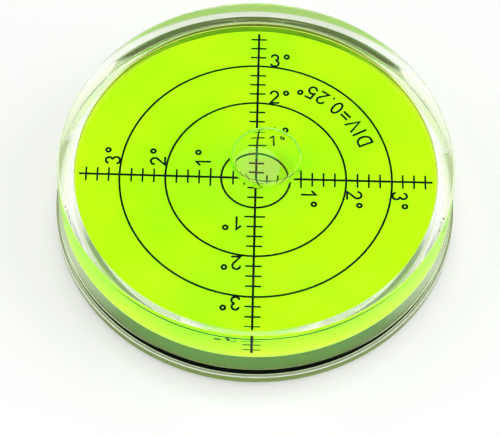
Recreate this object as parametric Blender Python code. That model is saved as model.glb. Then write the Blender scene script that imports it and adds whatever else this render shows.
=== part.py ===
"""Clear round bullseye level, 60 mm across and 12.4 mm high.

A clear moulded cap closes a clear base.  The base carries a green dial with a printed
graduation, and the room above the dial holds a green liquid with one flattened air bubble.
Metres, +Z up, the origin at the middle of the underside.
"""

import math

import bmesh
import bpy
from mathutils import Matrix, Vector

MM = 0.001

# Height of each layer, from the underside up
FLANGE_HEIGHT = 1.7 * MM
SPIGOT_HEIGHT = 3.3 * MM
DIAL_THICKNESS = 0.5 * MM
CHAMBER_DEPTH = 3.9 * MM
ROOF_THICKNESS = 3.0 * MM

# Outside of the base and the cap
OVERALL_DIAMETER = 60.0 * MM
FLANGE_LEDGE = 0.4 * MM
FLANGE_FOOT_RADIUS = 0.4 * MM
FLANGE_BEVEL = 0.12 * MM
CAP_DRAFT = math.radians(2.0)
CAP_WALL = 2.4 * MM
CAP_TOP_RADIUS = 0.3 * MM
CAP_SKIRT_BEVEL = 1.5 * MM

# Ceiling of the liquid room: a shallow part of a sphere, which sets how far the bubble travels
CEILING_RADIUS = 385.0 * MM
CEILING_FILLET = 0.6 * MM

# Bubble: its width, where it floats, and the liquid's capillary length
BUBBLE_DIAMETER = 10.8 * MM
BUBBLE_OFFSET_X = 1.5 * MM
BUBBLE_OFFSET_Y = 2.0 * MM
CAPILLARY_LENGTH = 1.6 * MM

# Graduation: one division is a quarter of a degree of tilt
DIVISION_ANGLE = math.radians(0.25)
DIVISIONS_PER_DEGREE = 4
RING_DIVISIONS = (3.06, 8.0, 12.05)
PRINT_THICKNESS = 0.08 * MM
CROSS_LINE = 0.35 * MM
RING_LINE = 0.32 * MM
TICK_LINE = 0.28 * MM
TICK_LENGTH = 2.4 * MM
DEGREE_TICK_LENGTH = 3.1 * MM
CROSS_MARGIN = 0.5 * MM

# Filling hole under the dial, and the stopper in it
FILL_HOLE_DIAMETER = 3.0 * MM
FILL_SEAT_DIAMETER = 5.0 * MM
FILL_SEAT_DEPTH = 1.2 * MM
FILL_HOLE_INSET = 10.0 * MM
FILL_GROOVE_WIDTH = 1.2 * MM
FILL_GROOVE_DEPTH = 0.6 * MM
STOPPER_RECESS = 0.2 * MM
STOPPER_TIP_GAP = 0.4 * MM

# Clearances between pieces
SPIGOT_FIT = 0.3 * MM
DIAL_FIT = 0.3 * MM
LIQUID_FIT = 0.3 * MM
BUBBLE_FIT = 0.3 * MM
STOPPER_FIT = 0.3 * MM

# Facets
BODY_SEGMENTS = 96
BUBBLE_SEGMENTS = 40
STOPPER_SEGMENTS = 24
RING_SEGMENTS = 96
ARC_STEPS = 4
CEILING_STEPS = 5
MENISCUS_STEPS = 600
MENISCUS_POINTS = 12
SOLVER_ROUNDS = 50
CUT_MARGIN = 1.0 * MM
WELD_DISTANCE = 0.001 * MM
SHARP_ANGLE = math.radians(35.0)
SMALLEST_FILLET = 0.05 * MM
BUBBLE_FLOOR_SLOPE = math.radians(15.0)
BUBBLE_FLOOR_SHARES = (0.45, 0.75)

# Levels worked out from the layers
FLANGE_TOP = FLANGE_HEIGHT
DIAL_SEAT = FLANGE_TOP + SPIGOT_HEIGHT
DIAL_FACE = DIAL_SEAT + DIAL_THICKNESS
CEILING_EDGE = DIAL_FACE + CHAMBER_DEPTH
CAP_TOP = CEILING_EDGE + ROOF_THICKNESS
LIQUID_FLOOR = DIAL_FACE + PRINT_THICKNESS
DIVISION_PITCH = CEILING_RADIUS * DIVISION_ANGLE
RING_RADII = tuple(count * DIVISION_PITCH for count in RING_DIVISIONS)
FILL_HOLE_PLACE = OVERALL_DIAMETER / 2 - FILL_HOLE_INSET


def cap_radius(height):
    """Outer radius of the cap's drafted wall at a height."""
    skirt = OVERALL_DIAMETER / 2 - FLANGE_LEDGE
    return skirt - (height - FLANGE_TOP) * math.tan(CAP_DRAFT)


def bore_radius(height):
    """Inner radius of the cap's wall at a height."""
    return cap_radius(height) - CAP_WALL


DIAL_RADIUS = bore_radius(DIAL_FACE) - DIAL_FIT
CEILING_EDGE_RADIUS = bore_radius(CEILING_EDGE)


def ceiling_height(radius):
    """Height of the spherical ceiling at a distance from the axis."""
    rise = math.sqrt(CEILING_RADIUS ** 2 - radius ** 2)
    rise_at_edge = math.sqrt(CEILING_RADIUS ** 2 - CEILING_EDGE_RADIUS ** 2)
    return CEILING_EDGE + rise - rise_at_edge


def quarter_arc(start, end, corner, steps):
    """Points of a quarter ellipse from start to end that bulges towards the corner."""
    points = []
    for step in range(steps + 1):
        turn = math.pi / 2 * step / steps
        to_start = 1 - math.sin(turn)
        to_end = 1 - math.cos(turn)
        points.append((
            corner[0] + (start[0] - corner[0]) * to_start + (end[0] - corner[0]) * to_end,
            corner[1] + (start[1] - corner[1]) * to_start + (end[1] - corner[1]) * to_end,
        ))
    return points


def chamber_outline(floor, gap):
    """Wall, fillet and ceiling of the liquid room, from the floor up to the axis.

    The outline lies a gap inside the cap, so the cap uses no gap and the liquid its fit.
    """
    fillet = max(CEILING_FILLET - gap, SMALLEST_FILLET)
    wall_radius = bore_radius(CEILING_EDGE) - gap
    fillet_start = (bore_radius(CEILING_EDGE - fillet) - gap, CEILING_EDGE - gap - fillet)
    ceiling_start = wall_radius - fillet
    fillet_end = (ceiling_start, ceiling_height(ceiling_start) - gap)
    corner = (wall_radius, ceiling_height(wall_radius) - gap)
    points = [(bore_radius(floor) - gap, floor)]
    points += quarter_arc(fillet_start, fillet_end, corner, ARC_STEPS)
    for step in range(1, CEILING_STEPS + 1):
        radius = ceiling_start * (1 - step / CEILING_STEPS)
        points.append((radius, ceiling_height(radius) - gap))
    return points


def meniscus_curve(apex_radius):
    """Outline of a bubble pressed against a ceiling, from its lowest point up.

    The Young-Laplace equation in arc length: the slope angle grows by twice the apex
    curvature, plus the height over the capillary length squared, less sin(angle) / radius.
    The outline ends where it meets the ceiling flat, at an angle of 180 degrees.
    """
    step = CAPILLARY_LENGTH * 6 / MENISCUS_STEPS
    radius, height, angle = 0.0, 0.0, 0.0
    points = [(radius, height, angle)]
    while angle < math.pi and len(points) < MENISCUS_STEPS * 10:
        hoop = math.sin(angle) / radius if radius > 0 else 1 / apex_radius
        bend = 2 / apex_radius + height / CAPILLARY_LENGTH ** 2 - hoop
        middle = angle + bend * step / 2
        radius += math.cos(middle) * step
        height += math.sin(middle) * step
        angle += bend * step
        points.append((radius, height, angle))
    return points


def bubble_outline():
    """Bubble outline of the stated width as (radius, height, angle) points."""
    low = BUBBLE_DIAMETER / 2
    high = BUBBLE_DIAMETER * 1000
    for _ in range(SOLVER_ROUNDS):
        middle = math.sqrt(low * high)
        widest = max(point[0] for point in meniscus_curve(middle))
        if widest < BUBBLE_DIAMETER / 2:
            low = middle
        else:
            high = middle
    return meniscus_curve(math.sqrt(low * high))


def thinned_outline(points):
    """A few points of the bubble outline, spaced evenly in slope angle and along its floor."""
    kept = [points[0]]
    floor_count = sum(1 for radius, height, angle in points if angle < BUBBLE_FLOOR_SLOPE)
    for share in BUBBLE_FLOOR_SHARES:
        kept.append(points[int(share * floor_count)])
    for number in range(1, MENISCUS_POINTS + 1):
        way = (math.pi - BUBBLE_FLOOR_SLOPE) * number / MENISCUS_POINTS
        target = BUBBLE_FLOOR_SLOPE + way
        kept.append(min(points, key=lambda point: abs(point[2] - target)))
    return [(radius, height) for radius, height, angle in kept]


def finish(name, color, roughness, transmission=0.0):
    """Principled material with the piece's colour, gloss and clearness."""
    material = bpy.data.materials.new(name)
    material.use_nodes = True
    shader = material.node_tree.nodes["Principled BSDF"]
    shader.inputs["Base Color"].default_value = (*color, 1.0)
    shader.inputs["Roughness"].default_value = roughness
    shader.inputs["Metallic"].default_value = 0.0
    shader.inputs["Transmission Weight"].default_value = transmission
    material.diffuse_color = (*color, 1.0)
    return material


def add_object(name, mesh, material=None):
    """Link a mesh as a named object with its material."""
    piece = bpy.data.objects.new(name, mesh)
    bpy.context.scene.collection.objects.link(piece)
    if material is not None:
        mesh.materials.append(material)
    return piece


def turned(name, outline, segments, material=None):
    """Solid of revolution about +Z from an outline of (radius, height) points.

    Both ends of the outline lie on the axis.
    """
    shape = bmesh.new()
    corners = [shape.verts.new((radius, 0.0, height)) for radius, height in outline]
    edges = [shape.edges.new(pair) for pair in zip(corners[:-1], corners[1:])]
    bmesh.ops.spin(
        shape,
        geom=corners + edges,
        cent=(0.0, 0.0, 0.0),
        axis=(0.0, 0.0, 1.0),
        angle=math.tau,
        steps=segments,
    )
    bmesh.ops.remove_doubles(shape, verts=shape.verts, dist=WELD_DISTANCE)
    bmesh.ops.recalc_face_normals(shape, faces=shape.faces)
    mesh = bpy.data.meshes.new(name)
    shape.to_mesh(mesh)
    shape.free()
    mesh.shade_smooth()
    mesh.set_sharp_from_angle(angle=SHARP_ANGLE)
    return add_object(name, mesh, material)


def block(name, low, high, turn=0.0, material=None):
    """Box between two corners, turned about +Z by an angle."""
    shape = bmesh.new()
    bmesh.ops.create_cube(shape, size=1.0)
    size = Vector(high) - Vector(low)
    centre = (Vector(high) + Vector(low)) / 2
    bmesh.ops.scale(shape, vec=size, verts=shape.verts)
    bmesh.ops.translate(shape, vec=centre, verts=shape.verts)
    bmesh.ops.rotate(shape, cent=(0, 0, 0), matrix=Matrix.Rotation(turn, 3, "Z"), verts=shape.verts)
    mesh = bpy.data.meshes.new(name)
    shape.to_mesh(mesh)
    shape.free()
    return add_object(name, mesh, material)


def ring(name, radius, width, low, high):
    """Flat ring between two heights, centred on a radius."""
    inner, outer = radius - width / 2, radius + width / 2
    outline = [(inner, low), (outer, low), (outer, high), (inner, high), (inner, low)]
    return turned(name, outline, RING_SEGMENTS)


def hide_tool(tool):
    """Keep a cutter out of renders and draw it as wire."""
    tool.hide_render = True
    tool.display_type = "WIRE"


def subtract(piece, cutter):
    """Cut the cutter's shape out of a piece."""
    hide_tool(cutter)
    cut = piece.modifiers.new(cutter.name, "BOOLEAN")
    cut.operation = "DIFFERENCE"
    cut.solver = "EXACT"
    cut.object = cutter


def build_base(material):
    """Clear base: a flange with a rounded foot, and the spigot that carries the dial."""
    flange = OVERALL_DIAMETER / 2
    foot = FLANGE_FOOT_RADIUS
    outline = [(0.0, 0.0)]
    outline += quarter_arc((flange - foot, 0.0), (flange, foot), (flange, 0.0), ARC_STEPS)
    outline += [
        (flange, FLANGE_TOP - FLANGE_BEVEL),
        (flange - FLANGE_BEVEL, FLANGE_TOP),
        (bore_radius(FLANGE_TOP) - SPIGOT_FIT, FLANGE_TOP),
        (bore_radius(DIAL_SEAT) - SPIGOT_FIT, DIAL_SEAT),
        (0.0, DIAL_SEAT),
    ]
    base = turned("clear_base", outline, BODY_SEGMENTS, material)

    seat = FILL_SEAT_DIAMETER / 2
    hole = FILL_HOLE_DIAMETER / 2
    bore = turned("fill_hole_cutter", [
        (0.0, -CUT_MARGIN),
        (seat, -CUT_MARGIN),
        (seat, FILL_SEAT_DEPTH),
        (hole, FILL_SEAT_DEPTH),
        (hole, DIAL_SEAT + CUT_MARGIN),
        (0.0, DIAL_SEAT + CUT_MARGIN),
    ], STOPPER_SEGMENTS)
    bore.location = (0.0, FILL_HOLE_PLACE, 0.0)
    subtract(base, bore)

    groove = block(
        "fill_groove_cutter",
        (-FILL_GROOVE_WIDTH / 2, FILL_HOLE_PLACE, DIAL_SEAT - FILL_GROOVE_DEPTH),
        (FILL_GROOVE_WIDTH / 2, OVERALL_DIAMETER / 2 + CUT_MARGIN, DIAL_SEAT + CUT_MARGIN),
    )
    subtract(base, groove)
    return base


def build_stopper(material):
    """Headed stopper pressed up into the filling hole."""
    head = FILL_SEAT_DIAMETER / 2 - STOPPER_FIT
    shank = FILL_HOLE_DIAMETER / 2 - STOPPER_FIT
    tip = DIAL_SEAT - FILL_GROOVE_DEPTH - STOPPER_TIP_GAP
    outline = [
        (0.0, STOPPER_RECESS),
        (head, STOPPER_RECESS),
        (head, FILL_SEAT_DEPTH),
        (shank, FILL_SEAT_DEPTH),
        (shank, tip),
        (0.0, tip),
    ]
    stopper = turned("fill_stopper", outline, STOPPER_SEGMENTS, material)
    stopper.location = (0.0, FILL_HOLE_PLACE, 0.0)
    return stopper


def build_cap(material):
    """Clear cap: roof, drafted wall and the domed ceiling of the liquid room."""
    top = cap_radius(CAP_TOP)
    skirt = cap_radius(FLANGE_TOP)
    outline = [(0.0, CAP_TOP)]
    outline += quarter_arc(
        (top - CAP_TOP_RADIUS, CAP_TOP),
        (cap_radius(CAP_TOP - CAP_TOP_RADIUS), CAP_TOP - CAP_TOP_RADIUS),
        (top, CAP_TOP),
        ARC_STEPS,
    )
    outline += [
        (cap_radius(FLANGE_TOP + CAP_SKIRT_BEVEL), FLANGE_TOP + CAP_SKIRT_BEVEL),
        (skirt - CAP_SKIRT_BEVEL, FLANGE_TOP),
    ]
    outline += chamber_outline(FLANGE_TOP, 0.0)
    return turned("clear_cap", outline, BODY_SEGMENTS, material)


def build_dial(material):
    """Green dial disc, seated on the spigot."""
    outline = [
        (0.0, DIAL_SEAT),
        (DIAL_RADIUS, DIAL_SEAT),
        (DIAL_RADIUS, DIAL_FACE),
        (0.0, DIAL_FACE),
    ]
    return turned("green_dial", outline, BODY_SEGMENTS, material)


def build_graduation(material):
    """Printed cross, division ticks and rings, joined into one thin layer on the dial."""
    reach = DIAL_RADIUS - CROSS_MARGIN
    half = CROSS_LINE / 2
    print_top = DIAL_FACE + PRINT_THICKNESS
    layer = block("dial_graduation", (-reach, -half, DIAL_FACE), (reach, half, print_top),
                  material=material)
    strokes = bpy.data.collections.new("graduation_strokes")
    bpy.context.scene.collection.children.link(strokes)
    tools = [block("cross_stroke", (-half, -reach, DIAL_FACE), (half, reach, print_top))]
    for number, radius in enumerate(RING_RADII):
        if radius + RING_LINE < DIAL_RADIUS:
            tools.append(ring(f"ring_stroke_{number}", radius, RING_LINE, DIAL_FACE, print_top))
    for arm in range(4):
        turn = math.pi / 2 * arm
        for count in range(1, int(reach / DIVISION_PITCH) + 1):
            place = count * DIVISION_PITCH
            if any(abs(place - radius) < DIVISION_PITCH / 4 for radius in RING_RADII):
                continue
            at_degree = count % DIVISIONS_PER_DEGREE == 0
            length = DEGREE_TICK_LENGTH if at_degree else TICK_LENGTH
            tools.append(block(
                f"tick_stroke_{arm}_{count}",
                (place - TICK_LINE / 2, -length / 2, DIAL_FACE),
                (place + TICK_LINE / 2, length / 2, print_top),
                turn,
            ))
    for tool in tools:
        hide_tool(tool)
        bpy.context.scene.collection.objects.unlink(tool)
        strokes.objects.link(tool)
    join = layer.modifiers.new("strokes", "BOOLEAN")
    join.operation = "UNION"
    join.solver = "EXACT"
    join.operand_type = "COLLECTION"
    join.collection = strokes
    return layer


def build_liquid(material, outline):
    """Green liquid that fills the room over the dial, with the hollow that the bubble takes."""
    body = [(0.0, LIQUID_FLOOR)] + chamber_outline(LIQUID_FLOOR, LIQUID_FIT)
    liquid = turned("level_liquid", body, BODY_SEGMENTS, material)
    top = outline[-1][1]
    widest = max(radius for radius, height in outline)
    hollow = [(0.0, -BUBBLE_FIT)]
    for radius, height in outline[1:]:
        if radius >= widest:
            break
        hollow.append((radius + BUBBLE_FIT * radius / widest, height - BUBBLE_FIT * (1 - height / top)))
    hollow += [
        (widest + BUBBLE_FIT, top / 2),
        (widest + BUBBLE_FIT, top + CUT_MARGIN),
        (0.0, top + CUT_MARGIN),
    ]
    cutter = turned("bubble_hollow_cutter", hollow, BUBBLE_SEGMENTS)
    cutter.location = bubble_place(top)
    subtract(liquid, cutter)
    return liquid


def bubble_place(thickness):
    """Lowest point of the bubble, floating against the ceiling."""
    distance = math.hypot(BUBBLE_OFFSET_X, BUBBLE_OFFSET_Y)
    height = ceiling_height(distance) - BUBBLE_FIT - thickness
    return (BUBBLE_OFFSET_X, BUBBLE_OFFSET_Y, height)


def build_bubble(material, outline):
    """Air bubble, flattened against the ceiling."""
    thickness = outline[-1][1]
    bubble = turned("air_bubble", outline + [(0.0, thickness)], BUBBLE_SEGMENTS, material)
    bubble.location = bubble_place(thickness)
    return bubble


def main():
    """Clear the scene and build every piece."""
    for leftover in list(bpy.data.objects):
        bpy.data.objects.remove(leftover, do_unlink=True)
    acrylic = finish("clear_acrylic", (0.94, 0.98, 0.92), 0.03, transmission=1.0)
    green = finish("fluorescent_green", (0.52, 0.98, 0.01), 0.45)
    ink = finish("black_ink", (0.01, 0.012, 0.008), 0.4)
    liquid = finish("green_spirit", (0.86, 1.0, 0.35), 0.0, transmission=1.0)
    air = finish("air", (1.0, 1.0, 1.0), 0.0, transmission=1.0)
    white = finish("white_stopper", (0.85, 0.86, 0.84), 0.4)
    outline = thinned_outline(bubble_outline())
    build_base(acrylic)
    build_stopper(white)
    build_dial(green)
    build_graduation(ink)
    build_liquid(liquid, outline)
    build_bubble(air, outline)
    build_cap(acrylic)


main()
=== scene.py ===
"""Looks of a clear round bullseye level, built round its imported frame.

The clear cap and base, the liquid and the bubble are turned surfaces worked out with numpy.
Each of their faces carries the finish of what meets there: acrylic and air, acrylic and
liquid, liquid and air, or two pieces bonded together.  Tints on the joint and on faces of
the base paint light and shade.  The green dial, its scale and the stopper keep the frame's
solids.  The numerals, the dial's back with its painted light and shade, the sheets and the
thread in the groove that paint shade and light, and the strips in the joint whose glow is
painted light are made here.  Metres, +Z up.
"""

import logging
import math
from dataclasses import dataclass
from enum import Enum

import bpy
import numpy as np
from mathutils import Matrix, Vector
from numpy.typing import NDArray


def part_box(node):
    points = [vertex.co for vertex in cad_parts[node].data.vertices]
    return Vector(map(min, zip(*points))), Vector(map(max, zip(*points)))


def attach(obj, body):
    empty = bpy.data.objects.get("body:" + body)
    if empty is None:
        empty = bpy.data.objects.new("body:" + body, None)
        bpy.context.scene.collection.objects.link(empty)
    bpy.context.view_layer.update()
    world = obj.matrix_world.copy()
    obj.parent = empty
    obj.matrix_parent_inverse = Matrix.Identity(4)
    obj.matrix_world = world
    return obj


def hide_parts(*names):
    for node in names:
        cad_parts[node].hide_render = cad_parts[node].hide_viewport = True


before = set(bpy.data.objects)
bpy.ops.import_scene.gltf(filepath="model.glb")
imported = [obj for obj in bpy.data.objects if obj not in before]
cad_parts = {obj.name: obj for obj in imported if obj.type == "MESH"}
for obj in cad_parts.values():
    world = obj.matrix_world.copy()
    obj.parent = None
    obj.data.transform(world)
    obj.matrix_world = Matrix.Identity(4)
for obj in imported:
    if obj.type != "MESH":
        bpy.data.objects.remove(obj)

FloatArray = NDArray[np.float64]
Length = float | FloatArray
Colour = tuple[float, float, float]
Stops = tuple[tuple[float, Colour], ...]
Amounts = tuple[tuple[float, float], ...]

MM = 0.001
BODY = "root"
LOG = logging.getLogger("bullseye_level")

# Points of an outline that touch, and points nearer to the axis than can be told from it.
TOUCHING = 1e-9
ON_AXIS = 1e-7

# Values of a noise between which a colour drifts, and between which a haze rises.
DRIFT = (0.35, 0.65)
PATCHES = (0.55, 0.8)

# Pieces that a long, a middling, a short and a very short stretch of an outline is cut into.
LONG, MIDDLING, SHORT, STUB = 12, 8, 4, 2

# Degrees between the points of a letter's bends and of a stroke's round ends, the fewest
# pieces of a bend, and the least cosine by which a stroke is widened at a corner.
BEND_STEP = 10.0
END_STEP = 15.0
FEWEST = 8
SHARPEST = 0.5


def new_material(name: str) -> tuple[bpy.types.Material, bpy.types.NodeTree]:
    """Make an empty node material.

    Args:
        name: Material name.

    Returns:
        The material and its node tree, with a Principled shader in place.
    """
    material = bpy.data.materials.new(name)
    material.use_nodes = True
    return material, material.node_tree


def add_noise(tree: bpy.types.NodeTree, scale: float, detail: float = 2.0) -> bpy.types.Node:
    """Add a noise texture that reads the object's own coordinates.

    Args:
        tree: Node tree that gets the noise.
        scale: Noise scale, per metre.
        detail: Octaves of detail.

    Returns:
        The noise node.
    """
    place = tree.nodes.new("ShaderNodeTexCoord")
    noise = tree.nodes.new("ShaderNodeTexNoise")
    noise.inputs["Scale"].default_value = scale
    noise.inputs["Detail"].default_value = detail
    tree.links.new(place.outputs["Object"], noise.inputs["Vector"])
    return noise


def add_flat_place(tree: bpy.types.NodeTree) -> bpy.types.NodeSocket:
    """Add nodes that give the point's place on the object, without its height.

    Args:
        tree: Node tree that gets the nodes.

    Returns:
        The output socket.
    """
    place = tree.nodes.new("ShaderNodeTexCoord")
    flat = tree.nodes.new("ShaderNodeVectorMath")
    flat.operation = "MULTIPLY"
    flat.inputs[1].default_value = (1.0, 1.0, 0.0)
    tree.links.new(place.outputs["Object"], flat.inputs[0])
    return flat.outputs["Vector"]


def add_share(tree: bpy.types.NodeTree, value: bpy.types.NodeSocket, low: float,
              high: float) -> bpy.types.NodeSocket:
    """Add a node that turns a value into its share of the way between two others.

    Args:
        tree: Node tree that gets the node.
        value: Socket of the value.
        low: Value at which the share is 0.
        high: Value at which it is 1.

    Returns:
        The share's socket.
    """
    share = tree.nodes.new("ShaderNodeMapRange")
    share.inputs["From Min"].default_value = low
    share.inputs["From Max"].default_value = high
    tree.links.new(value, share.inputs["Value"])
    return share.outputs["Result"]


def add_distance(tree: bpy.types.NodeTree, start: float, end: float) -> bpy.types.NodeSocket:
    """Add nodes that give 0 near the object's axis and 1 far from it.

    Args:
        tree: Node tree that gets the nodes.
        start: Distance up to which the result is 0.
        end: Distance from which it is 1.

    Returns:
        The output socket.
    """
    away = tree.nodes.new("ShaderNodeVectorMath")
    away.operation = "LENGTH"
    tree.links.new(add_flat_place(tree), away.inputs[0])
    return add_share(tree, away.outputs["Value"], start, end)


def add_height(tree: bpy.types.NodeTree, low: float, high: float) -> bpy.types.NodeSocket:
    """Add nodes that give 0 at one height of the object and 1 at another.

    Args:
        tree: Node tree that gets the nodes.
        low: Height up to which the result is 0.
        high: Height from which it is 1.

    Returns:
        The output socket.
    """
    place = tree.nodes.new("ShaderNodeTexCoord")
    along = tree.nodes.new("ShaderNodeSeparateXYZ")
    tree.links.new(place.outputs["Object"], along.inputs["Vector"])
    return add_share(tree, along.outputs["Z"], low, high)


def add_stops(tree: bpy.types.NodeTree, share: bpy.types.NodeSocket,
              stops: Stops) -> bpy.types.NodeSocket:
    """Add a colour ramp.

    Args:
        tree: Node tree that gets the ramp.
        share: Socket that drives it.
        stops: (place, colour) pairs in rising order.

    Returns:
        The colour's socket.
    """
    ramp = tree.nodes.new("ShaderNodeValToRGB")
    elements = ramp.color_ramp.elements
    elements.remove(elements[1])
    elements[0].position, elements[0].color = stops[0][0], (*stops[0][1], 1.0)
    for where, colour in stops[1:]:
        elements.new(where).color = (*colour, 1.0)
    tree.links.new(share, ramp.inputs["Fac"])
    return ramp.outputs["Color"]


def add_heading(tree: bpy.types.NodeTree, amounts: Amounts) -> bpy.types.NodeSocket:
    """Add nodes that give an amount by the direction of the point from the object's axis.

    The direction is taken as a share that runs from 0 at the front (-Y) to 1 at the back (+Y).

    Args:
        tree: Node tree that gets the nodes.
        amounts: (share, amount) pairs in rising order.

    Returns:
        The output socket.
    """
    spoke = tree.nodes.new("ShaderNodeVectorMath")
    spoke.operation = "NORMALIZE"
    tree.links.new(add_flat_place(tree), spoke.inputs[0])
    along = tree.nodes.new("ShaderNodeSeparateXYZ")
    tree.links.new(spoke.outputs["Vector"], along.inputs["Vector"])
    share = add_share(tree, along.outputs["Y"], -1.0, 1.0)
    return add_stops(tree, share, tuple((where, (amount,) * 3) for where, amount in amounts))


def add_drift(tree: bpy.types.NodeTree, noise: bpy.types.Node, first: Colour,
              second: Colour) -> bpy.types.NodeSocket:
    """Add a colour ramp that drifts between two colours as a noise does.

    Args:
        tree: Node tree that gets the ramp.
        noise: The noise.
        first: Colour where the noise is low.
        second: Colour where it is high.

    Returns:
        The colour's socket.
    """
    return add_stops(tree, noise.outputs["Fac"], ((DRIFT[0], first), (DRIFT[1], second)))


def add_mix(tree: bpy.types.NodeTree, amount: bpy.types.NodeSocket,
            first: Colour) -> bpy.types.Node:
    """Add a node that mixes a colour with another one.

    Args:
        tree: Node tree that gets the node.
        amount: Socket of the other colour's amount.
        first: The colour where that amount is nought.

    Returns:
        The node, whose input B takes the other colour.
    """
    mix = tree.nodes.new("ShaderNodeMix")
    mix.data_type = "RGBA"
    mix.inputs["A"].default_value = (*first, 1.0)
    tree.links.new(amount, mix.inputs["Factor"])
    return mix


@dataclass(frozen=True)
class Optics:
    """Refractive indices of the clear media.

    Attributes:
        acrylic: Index of the cap and the base.
        liquid: Index of the liquid.
    """

    acrylic: float = 1.49
    liquid: float = 1.401


@dataclass(frozen=True)
class ClearFinish:
    """Clear surface that bends light.

    Attributes:
        name: Material name.
        ior: Index of the body behind the face, relative to what is in front of it.
        tint: Colour of light that passes the face.
        haze: Largest roughness, reached only in faint patches.
        patch: Size of the patches as a noise scale per metre.
        dye: Colour that the body behind the face turns white light into.
        dye_density: How much of the rest it swallows, per metre.
        heading: How much the tint counts, as (share of the way from front to back, amount)
            pairs. Without any, it counts everywhere.
    """

    name: str
    ior: float
    tint: Colour = (1.0, 1.0, 1.0)
    haze: float = 0.004
    patch: float = 90.0
    dye: Colour = (1.0, 1.0, 1.0)
    dye_density: float = 0.0
    heading: Amounts = ()

    def build(self) -> bpy.types.Material:
        """Make the material.

        Returns:
            The clear material.
        """
        material, tree = new_material(self.name)
        shader = tree.nodes["Principled BSDF"]
        shader.inputs["Transmission Weight"].default_value = 1.0
        shader.inputs["IOR"].default_value = self.ior
        shader.inputs["Base Color"].default_value = (*self.tint, 1.0)
        if self.heading:
            mix = add_mix(tree, add_heading(tree, self.heading), (1.0, 1.0, 1.0))
            mix.inputs["B"].default_value = (*self.tint, 1.0)
            tree.links.new(mix.outputs["Result"], shader.inputs["Base Color"])
        shader.inputs["Roughness"].default_value = 0.0
        if self.haze > 0.0:
            noise = add_noise(tree, self.patch, detail=3.0)
            haze = tree.nodes.new("ShaderNodeMapRange")
            haze.inputs["From Min"].default_value = PATCHES[0]
            haze.inputs["From Max"].default_value = PATCHES[1]
            haze.inputs["To Max"].default_value = self.haze
            tree.links.new(noise.outputs["Fac"], haze.inputs["Value"])
            tree.links.new(haze.outputs["Result"], shader.inputs["Roughness"])
        if self.dye_density > 0.0:
            body = tree.nodes.new("ShaderNodeVolumeAbsorption")
            body.inputs["Color"].default_value = (*self.dye, 1.0)
            body.inputs["Density"].default_value = self.dye_density
            tree.links.new(body.outputs["Volume"], tree.nodes["Material Output"].inputs["Volume"])
        return material


@dataclass(frozen=True)
class DyedFinish:
    """Opaque finish that drifts between two shades, with a fine grain.

    Attributes:
        name: Material name.
        first: One shade.
        second: The other shade.
        roughness: Mean roughness.
        spread: Share by which the roughness goes up and down.
        cloud: Noise scale of the drift, per metre.
        grain: Noise scale of the bump, per metre.
        depth: Height of the bump in metres.
        sheen: Share of the usual surface reflection, which liquid over it quenches.
    """

    name: str
    first: Colour
    second: Colour
    roughness: float
    spread: float = 0.15
    cloud: float = 60.0
    grain: float = 4000.0
    depth: float = 0.004 * MM
    sheen: float = 0.5

    def build(self) -> bpy.types.Material:
        """Make the material.

        Returns:
            The opaque material.
        """
        material, tree = new_material(self.name)
        shader = tree.nodes["Principled BSDF"]
        shade = add_drift(tree, add_noise(tree, self.cloud), self.first, self.second)
        tree.links.new(shade, shader.inputs["Base Color"])
        fine = add_noise(tree, self.grain)
        gloss = tree.nodes.new("ShaderNodeMapRange")
        gloss.inputs["To Min"].default_value = self.roughness * (1.0 - self.spread)
        gloss.inputs["To Max"].default_value = self.roughness * (1.0 + self.spread)
        tree.links.new(fine.outputs["Fac"], gloss.inputs["Value"])
        tree.links.new(gloss.outputs["Result"], shader.inputs["Roughness"])
        bump = tree.nodes.new("ShaderNodeBump")
        bump.inputs["Distance"].default_value = self.depth
        tree.links.new(fine.outputs["Fac"], bump.inputs["Height"])
        tree.links.new(bump.outputs["Normal"], shader.inputs["Normal"])
        shader.inputs["Specular IOR Level"].default_value = self.sheen
        return material


@dataclass(frozen=True)
class DialFinish:
    """Fluorescent disc: two shades with painted glows, and more blue near the middle that paints
    paler light.

    Attributes:
        name: Material name.
        first: One shade.
        second: The other shade.
        first_glow: Light that it gives off in the one shade.
        second_glow: Light that it gives off in the other shade.
        blue: Share of the blue that is left away from the middle.
        start: Radius up to which the blue is whole.
        end: Radius from which only that share is left.
        cloud: Noise scale of the drift, per metre.
        roughness: Its roughness.
        sheen: Share of the usual surface reflection, which liquid over it quenches.
    """

    name: str
    first: Colour
    second: Colour
    first_glow: Colour
    second_glow: Colour
    blue: float
    start: float
    end: float
    cloud: float = 90.0
    roughness: float = 0.5
    sheen: float = 0.02

    def build(self) -> bpy.types.Material:
        """Make the material.

        Returns:
            The dial's material.
        """
        material, tree = new_material(self.name)
        shader = tree.nodes["Principled BSDF"]
        noise = add_noise(tree, self.cloud)
        # Painted light: the blue is kept whole near the middle, so the dial looks paler where
        # light falls through the bubble.
        share = tree.nodes.new("ShaderNodeMapRange")
        share.inputs["To Min"].default_value = 1.0
        share.inputs["To Max"].default_value = self.blue
        tree.links.new(add_distance(tree, self.start, self.end), share.inputs["Value"])
        left = tree.nodes.new("ShaderNodeCombineXYZ")
        left.inputs["X"].default_value = left.inputs["Y"].default_value = 1.0
        tree.links.new(share.outputs["Result"], left.inputs["Z"])
        # Painted glow: the emission stands in for the dial's fluorescence and stays the same in
        # shade.
        for socket, low, high in (("Base Color", self.first, self.second),
                                  ("Emission Color", self.first_glow, self.second_glow)):
            fewer = tree.nodes.new("ShaderNodeVectorMath")
            fewer.operation = "MULTIPLY"
            tree.links.new(add_drift(tree, noise, low, high), fewer.inputs[0])
            tree.links.new(left.outputs["Vector"], fewer.inputs[1])
            tree.links.new(fewer.outputs["Vector"], shader.inputs[socket])
        shader.inputs["Emission Strength"].default_value = 1.0
        shader.inputs["Roughness"].default_value = self.roughness
        shader.inputs["Specular IOR Level"].default_value = self.sheen
        return material


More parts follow.
